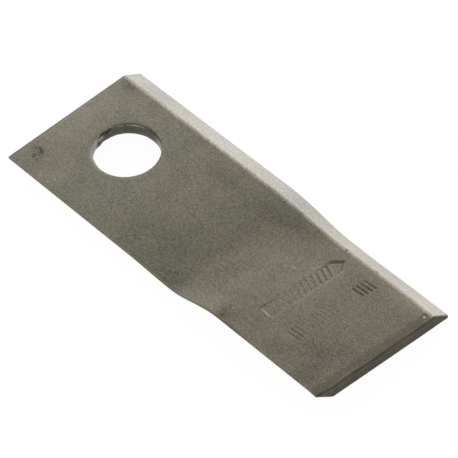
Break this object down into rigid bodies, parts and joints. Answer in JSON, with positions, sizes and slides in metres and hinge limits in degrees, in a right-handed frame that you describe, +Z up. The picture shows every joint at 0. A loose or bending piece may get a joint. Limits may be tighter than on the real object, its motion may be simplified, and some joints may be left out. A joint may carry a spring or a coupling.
{
  "type": "rotary mower blade",
  "caption": "Flat steel mower blade with a round bolt hole at the hub end, bevelled cutting edges on opposite faces and a twisted outer half.",
  "frame": {"origin": "middle of the blade's plan, at the height of its lowest edge, the cutting edge of the twisted half", "axes": "+X along the blade from the hub end to the tip, +Z up out of the level hub end's upper face, +Y to the cutting edge that is bevelled on the upper face"},
  "size_m": [0.12, 0.048, 0.0097],
  "materials": {
    "steel": "dark satin hardened steel with bright ground bevels"
  },
  "bodies": {
    "root": {"blade": "steel"}
  },
  "joints": []
}
